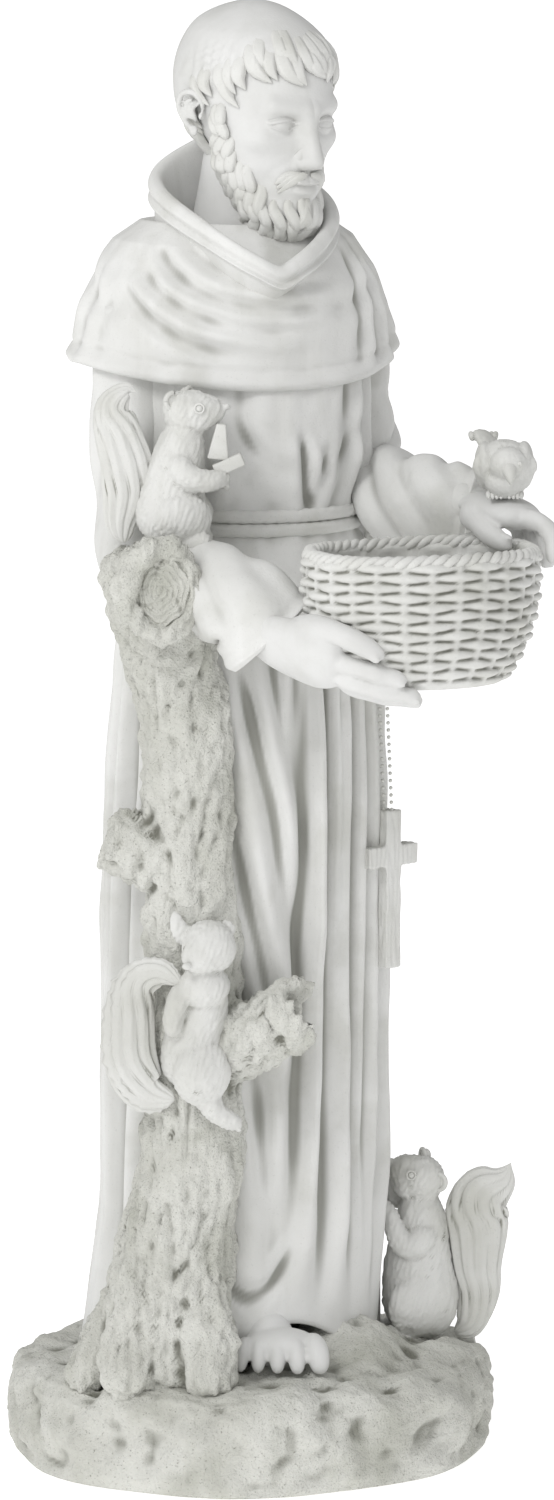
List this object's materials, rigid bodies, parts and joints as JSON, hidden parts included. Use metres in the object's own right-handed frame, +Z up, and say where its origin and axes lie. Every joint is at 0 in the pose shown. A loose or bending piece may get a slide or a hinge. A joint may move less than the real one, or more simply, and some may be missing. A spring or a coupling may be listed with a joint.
{
  "type": "saint francis garden statue",
  "caption": "Cast stone-look garden statue of a standing friar holding a woven basket, beside a tree trunk with a bird and squirrels, on a rock base.",
  "frame": {"origin": "middle of the rock base on its flat underside, where the statue meets the ground", "axes": "+Z up through the figure, -Y the way the figure's body faces, +X towards the figure's own left side"},
  "size_m": [0.4449, 0.5511, 1.3027],
  "materials": {
    "cast_stone": "matt off-white cast surface with a grey-green wash in the hollows"
  },
  "bodies": {
    "root": {"statue": "cast_stone"}
  },
  "joints": []
}
